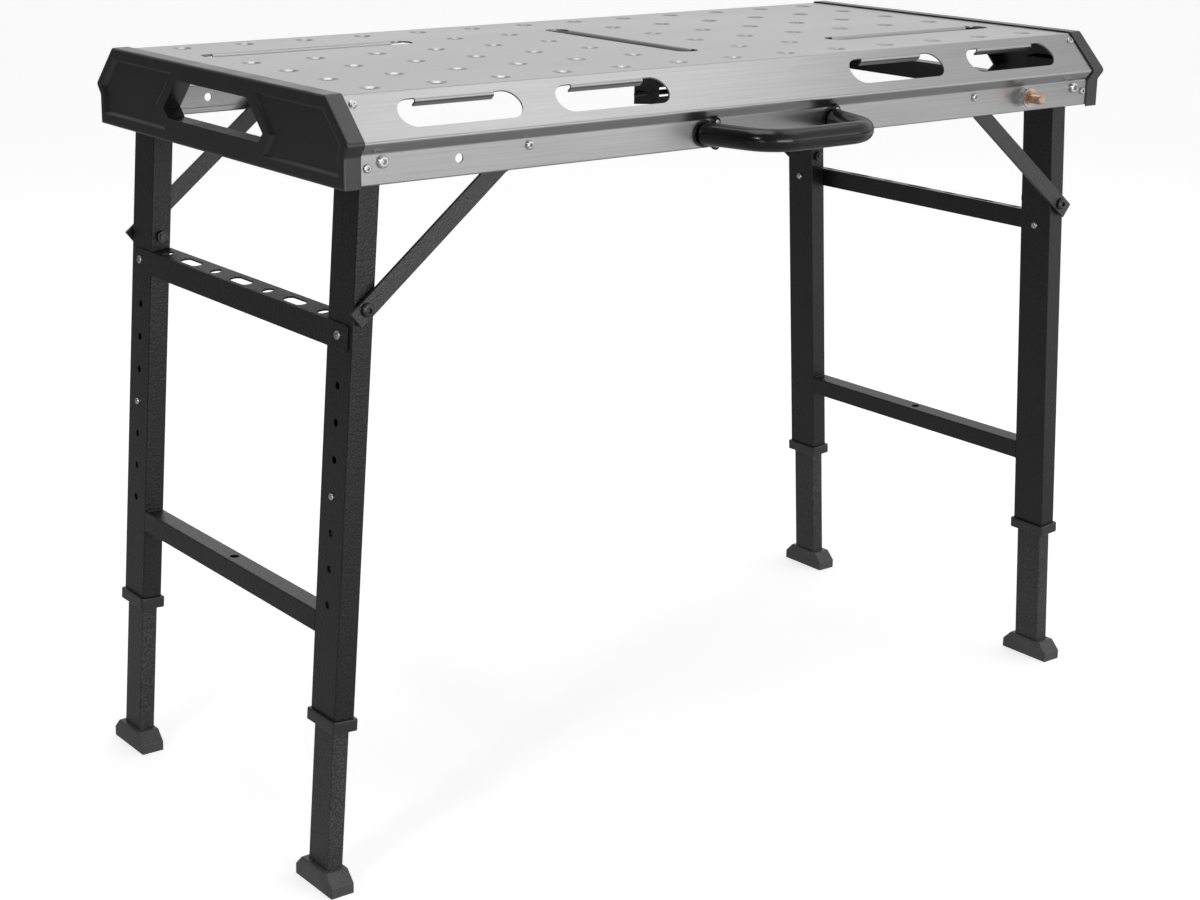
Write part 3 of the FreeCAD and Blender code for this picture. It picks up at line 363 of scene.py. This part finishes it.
def make_materials():
    """One finish for each material slot of the record, and brace_coat for the brace bars."""
    return {
        "sheet_steel": sheet_steel_material(),
        "rib_steel": galvanised_material("clip_dark_zinc", (0.10, 0.10, 0.105), 0.42),
        "cap_plastic": moulded_plastic_material(
            "cap_plastic_grained", 0.008, 0.013, specular=0.8, roughness=0.33, grain=700.0, strength=0.3),
        "handle_plastic": moulded_plastic_material(
            "handle_plastic_gloss", 0.003, 0.005, specular=0.42, roughness=0.2, grain=500.0, strength=0.03),
        "black_coat": powder_coat_material(
            "black_powder_coat", 0.009, 0.014, specular=0.46, roughness=0.36, grain=300.0),
        "brace_coat": powder_coat_material(
            "brace_powder_coat", 0.010, 0.016, specular=0.8, roughness=0.36, grain=300.0),
        "lower_coat": powder_coat_material(
            "lower_leg_coat", 0.050, 0.070, specular=0.45, roughness=0.42, grain=330.0),
        "foot_rubber": moulded_plastic_material(
            "foot_rubber_moulded", 0.07, 0.10, specular=0.45, roughness=0.42, grain=700.0, strength=0.25),
        "zinc": plated_material("zinc_plated", (0.40, 0.40, 0.39), (0.66, 0.66, 0.66), 0.28),
        "chrome_screw": plated_material("bright_plated", (0.45, 0.45, 0.45), (0.75, 0.75, 0.76), 0.16),
        "black_screw": plated_material("black_oxide", (0.04, 0.04, 0.042), (0.10, 0.10, 0.105), 0.32),
        "spring_steel": plated_material("spring_strip", (0.3, 0.3, 0.31), (0.45, 0.45, 0.46), 0.3),
        "copper": plated_material("copper_plated", (0.46, 0.27, 0.19), (0.70, 0.46, 0.34), 0.3),
    }


def dress_cad_nodes(materials):
    """Give each CAD node the finish of its material slot; the brace bars have a glossier coat."""
    slots = {row["node"]: row["material_slot"] for row in frame["record"]["subparts"]}
    for node, thing in frame["nodes"].items():
        bar = node.startswith(("brace_front", "brace_back"))
        for place in thing.material_slots:
            place.material = materials["brace_coat" if bar else slots[node]]


# ---------------------------------------------------------------- small pieces on the CAD model
def on_leg(side, outward, y, along):
    """A point of a leaning leg frame: outward from its centre line, and down from its pivot."""
    x = PIVOT[0] + outward * math.cos(SPLAY) + along * math.sin(SPLAY)
    z = PIVOT[1] + outward * math.sin(SPLAY) - along * math.cos(SPLAY)
    return Vector((side * x, y + MIDDLE_Y, z))


def new_piece(name, build, material, body):
    """A finished mesh in one slot's finish that moves with one body."""
    mesh = bpy.data.meshes.new(name)
    bmesh.ops.recalc_face_normals(build, faces=build.faces)
    build.to_mesh(mesh)
    build.free()
    mesh.materials.append(material)
    for face in mesh.polygons:
        face.use_smooth = True
    piece = bpy.data.objects.new(name, mesh)
    bpy.context.scene.collection.objects.link(piece)
    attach(piece, body)


def lumpy_bead(build, start, end):
    """A weld bead from start to end: overlapping scales that taper at both ends."""
    along = end - start
    length = along.length
    along.normalize()
    side = along.orthogonal().normalized()
    over = along.cross(side)
    turns = [2 * math.pi * k / BEAD_SIDES for k in range(BEAD_SIDES)]
    loops = []
    for n in range(BEAD_RINGS + 1):
        share = n / BEAD_RINGS
        taper = math.sqrt(max(0.0, 1 - (2 * share - 1) ** 6))
        scales = 0.16 * math.sin(share * length / BEAD_RIPPLE * 2 * math.pi)
        wander = 0.06 * math.sin(17 * share + 40 * BEAD_RADIUS)
        reach = max(BEAD_RADIUS * taper * (1 + scales + wander), BEAD_RADIUS * 0.05)
        centre = start + along * (length * share)
        loops.append([build.verts.new(centre + (side * math.cos(t) + over * math.sin(t)) * reach)
                      for t in turns])
    for a, b in zip(loops, loops[1:]):
        for k in range(BEAD_SIDES):
            after = (k + 1) % BEAD_SIDES
            build.faces.new((a[k], a[after], b[after], b[k]))
    build.faces.new(loops[0])
    build.faces.new(list(reversed(loops[-1])))


def add_crossbar_welds(material):
    """Beads over and under both ends of each lower crossbar."""
    half = CROSSBAR_SIDE / 2 - BEAD_SHORT
    for side, name in SIDES:
        build = bmesh.new()
        for row in (-1, 1):
            for along in (CROSSBAR_TOP, CROSSBAR_TOP + CROSSBAR_SIDE):
                y = row * (LEG_INNER_Y - BEAD_SINK)
                lumpy_bead(build, on_leg(side, -half, y, along), on_leg(side, half, y, along))
        new_piece("crossbar_welds_" + name, build, material, "leg_frame_" + name)


def add_stud_thread(material):
    """The earth stud's thread as a ridge that winds round its plain bar."""
    build = bmesh.new()
    count = int((STUD_TO - STUD_FROM) / THREAD_PITCH * THREAD_STEPS)
    rows = []
    for n in range(count + 1):
        turn = 2 * math.pi * n / THREAD_STEPS
        reach = STUD_FROM + n / THREAD_STEPS * THREAD_PITCH
        fade = min(1.0, n / THREAD_FADE, (count - n) / THREAD_FADE)
        ring = []
        for shift, rise in ((-0.5, -THREAD_SINK), (0.0, THREAD_DEEP * fade), (0.5, -THREAD_SINK)):
            radius = STUD_RADIUS + rise
            ring.append(build.verts.new((STUD[0] + radius * math.cos(turn),
                                         MIDDLE_Y - reach - shift * THREAD_PITCH * THREAD_FLANK,
                                         STUD[1] + radius * math.sin(turn))))
        rows.append(ring)
    for a, b in zip(rows, rows[1:]):
        for k in range(2):
            build.faces.new((a[k], a[k + 1], b[k + 1], b[k]))
    new_piece("earth_stud_thread", build, material, "table_top")


def add_flexing_springs(material):
    """The springs behind the snap buttons, between the leg and the button, copied from the CAD springs,
    which are hidden.
    """
    for row in ROWS:
        for side, name in SIDES:
            corner = row + "_" + name
            build = bmesh.new()
            build.from_mesh(frame["nodes"]["button_spring_" + corner].data)
            bmesh.ops.remove_doubles(build, verts=build.verts, dist=1e-6)
            mesh = bpy.data.meshes.new("flexing_spring_" + corner)
            build.to_mesh(mesh)
            build.free()
            mesh.materials.clear()
            mesh.materials.append(material)
            piece = bpy.data.objects.new("flexing_spring_" + corner, mesh)
            bpy.context.scene.collection.objects.link(piece)
            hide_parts("button_spring_" + corner)
            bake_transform(piece)


# ---------------------------------------------------------------- the scene
add_camera()
add_world()
for softbox in SOFTBOXES:
    add_softbox(*softbox)
add_floor()
finishes = make_materials()
dress_cad_nodes(finishes)
add_crossbar_welds(finishes["black_coat"])
add_stud_thread(finishes["copper"])
add_flexing_springs(finishes["spring_steel"])
